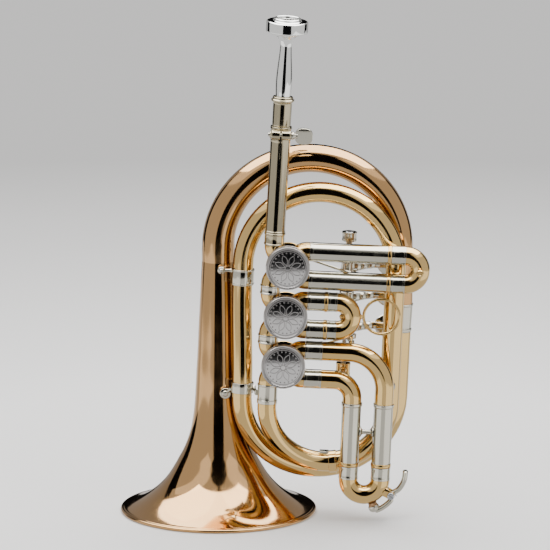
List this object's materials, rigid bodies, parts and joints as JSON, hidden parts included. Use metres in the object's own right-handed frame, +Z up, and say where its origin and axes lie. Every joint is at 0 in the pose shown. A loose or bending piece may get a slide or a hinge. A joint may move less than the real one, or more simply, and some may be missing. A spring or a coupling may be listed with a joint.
{
  "type": "rotary valve trumpet",
  "caption": "Compact trumpet with rotary valves, finger levers, pull-out slides and a water key, standing on its bell rim.",
  "frame": {"origin": "on the plane of the bell's rim, under the middle of the object's box", "axes": "+Z up along the bell's axis to the mouthpiece, +X from the bell towards the valve slides, -Y the side that the valve caps face"},
  "size_m": [0.1993, 0.127, 0.3315],
  "materials": {
    "rose_brass": "polished rose brass",
    "yellow_brass": "polished yellow brass",
    "nickel_silver": "polished nickel silver",
    "silver_plate": "polished silver plate",
    "steel": "bright steel",
    "cork": "natural cork"
  },
  "bodies": {
    "instrument": {"bell": "rose_brass", "bell_bow": "rose_brass", "outer_bottom_bow": "yellow_brass", "inner_main_bow": "yellow_brass", "inner_bottom_bow": "yellow_brass", "bottom_bow_ferrule": "yellow_brass", "upper_axle_bracket": "yellow_brass", "lower_axle_bracket": "yellow_brass", "slide_3_upper_bend": "yellow_brass", "slide_3_lower_bend": "yellow_brass", "tail_ferrule": "nickel_silver", "exit_ferrule": "nickel_silver", "upper_bell_brace": "nickel_silver", "lower_bell_brace": "nickel_silver", "leadpipe_ferrule": "nickel_silver", "leadpipe_sleeve": "nickel_silver", "upper_knuckle_ferrule": "nickel_silver", "lower_knuckle_ferrule": "nickel_silver", "slide_1_upper_tube": "nickel_silver", "slide_1_lower_tube": "nickel_silver", "slide_2_upper_tube": "nickel_silver", "slide_2_lower_tube": "nickel_silver", "slide_3_outer_tubes": "nickel_silver", "wrap_spacer": "nickel_silver", "lever_axle": "steel", "valve_1_casing": "yellow_brass", "valve_1_bearing_plate": "yellow_brass", "valve_1_cap": "nickel_silver", "lever_1_spring": "steel", "valve_2_casing": "yellow_brass", "valve_2_bearing_plate": "yellow_brass", "valve_2_cap": "nickel_silver", "lever_2_spring": "steel", "valve_3_casing": "yellow_brass", "valve_3_bearing_plate": "yellow_brass", "valve_3_cap": "nickel_silver", "lever_3_spring": "steel"},
    "mouthpiece": {"mouthpiece": "silver_plate"},
    "receiver": {"mouthpiece_receiver": "nickel_silver"},
    "clamp_screw": {"clamp_screw": "nickel_silver"},
    "slide_1": {"slide_1": "yellow_brass"},
    "slide_2": {"slide_2": "yellow_brass", "pull_ring": "nickel_silver"},
    "slide_3": {"slide_3": "yellow_brass", "water_key_screw": "steel", "water_key_spring": "steel"},
    "water_key": {"water_key": "nickel_silver", "water_key_cork": "cork"},
    "rotor_1": {"valve_1_rotor": "yellow_brass", "valve_1_stop_arm": "nickel_silver"},
    "rod_1": {"connecting_rod_1": "nickel_silver"},
    "lever_1": {"lever_1": "nickel_silver"},
    "rotor_2": {"valve_2_rotor": "yellow_brass", "valve_2_stop_arm": "nickel_silver"},
    "rod_2": {"connecting_rod_2": "nickel_silver"},
    "lever_2": {"lever_2": "nickel_silver"},
    "rotor_3": {"valve_3_rotor": "yellow_brass", "valve_3_stop_arm": "nickel_silver"},
    "rod_3": {"connecting_rod_3": "nickel_silver"},
    "lever_3": {"lever_3": "nickel_silver"}
  },
  "joints": [
    {"name": "receiver_slide", "type": "slide", "parent": "instrument", "child": "receiver", "axis": [0.0576, 0, 0.9983], "range_m": [-0.015, 0.035]},
    {"name": "mouthpiece_pull", "type": "slide", "parent": "receiver", "child": "mouthpiece", "axis": [0.0576, 0, 0.9983], "range_m": [0, 0.018]},
    {"name": "clamp_screw_turn", "type": "hinge", "parent": "instrument", "child": "clamp_screw", "pos_m": [0.00428, -0.0369, 0.25652], "axis": [0.9983, 0, -0.0576], "range_deg": [0, 180]},
    {"name": "slide_1_pull", "type": "slide", "parent": "instrument", "child": "slide_1", "axis": [0.999, 0, -0.0454], "range_m": [0, 0.035]},
    {"name": "slide_2_pull", "type": "slide", "parent": "instrument", "child": "slide_2", "axis": [0.999, 0, -0.0454], "range_m": [0, 0.008]},
    {"name": "slide_3_pull", "type": "slide", "parent": "instrument", "child": "slide_3", "axis": [-0.0454, 0, -0.999], "range_m": [0, 0.02]},
    {"name": "water_key_press", "type": "hinge", "parent": "slide_3", "child": "water_key", "pos_m": [0.07526, -0.0275, 0.01717], "axis": [0, -1, 0], "range_deg": [0, 15], "stiffness_Nm_per_rad": 0.02, "springref_deg": -20.05},
    {"name": "lever_1_press", "type": "hinge", "parent": "instrument", "child": "lever_1", "pos_m": [0.0477, 0.0115, 0.15896], "axis": [-0.0454, 0, -0.999], "range_deg": [0, 20], "stiffness_Nm_per_rad": 0.06, "springref_deg": -28.65},
    {"name": "rotor_1_turn", "type": "hinge", "parent": "instrument", "child": "rotor_1", "pos_m": [0.00873, -0.0275, 0.16934], "axis": [0, -1, 0], "range_deg": [0, 90]},
    {"name": "rod_1_pivot", "type": "hinge", "parent": "rotor_1", "child": "rod_1", "pos_m": [0.01349, -0.0125, 0.17298], "axis": [0, -1, 0], "range_deg": [-90, 0]},
    {"name": "lever_2_press", "type": "hinge", "parent": "instrument", "child": "lever_2", "pos_m": [0.04678, 0.0115, 0.13868], "axis": [-0.0454, 0, -0.999], "range_deg": [0, 20], "stiffness_Nm_per_rad": 0.06, "springref_deg": -28.65},
    {"name": "rotor_2_turn", "type": "hinge", "parent": "instrument", "child": "rotor_2", "pos_m": [0.00725, -0.0275, 0.13677], "axis": [0, -1, 0], "range_deg": [0, 90]},
    {"name": "rod_2_pivot", "type": "hinge", "parent": "rotor_2", "child": "rod_2", "pos_m": [0.01202, -0.0125, 0.14041], "axis": [0, -1, 0], "range_deg": [-90, 0]},
    {"name": "lever_3_press", "type": "hinge", "parent": "instrument", "child": "lever_3", "pos_m": [0.04585, 0.0115, 0.1184], "axis": [-0.0454, 0, -0.999], "range_deg": [0, 20], "stiffness_Nm_per_rad": 0.06, "springref_deg": -28.65},
    {"name": "rotor_3_turn", "type": "hinge", "parent": "instrument", "child": "rotor_3", "pos_m": [0.00577, -0.0275, 0.1042], "axis": [0, -1, 0], "range_deg": [0, 90]},
    {"name": "rod_3_pivot", "type": "hinge", "parent": "rotor_3", "child": "rod_3", "pos_m": [0.01054, -0.0125, 0.10785], "axis": [0, -1, 0], "range_deg": [-90, 0]}
  ],
  "couplings": [
    {"joint": "rotor_1_turn", "follows": "lever_1_press", "ratio": 4.5},
    {"joint": "rod_1_pivot", "follows": "lever_1_press", "ratio": -4.5},
    {"joint": "rotor_2_turn", "follows": "lever_2_press", "ratio": 4.5},
    {"joint": "rod_2_pivot", "follows": "lever_2_press", "ratio": -4.5},
    {"joint": "rotor_3_turn", "follows": "lever_3_press", "ratio": 4.5},
    {"joint": "rod_3_pivot", "follows": "lever_3_press", "ratio": -4.5}
  ]
}
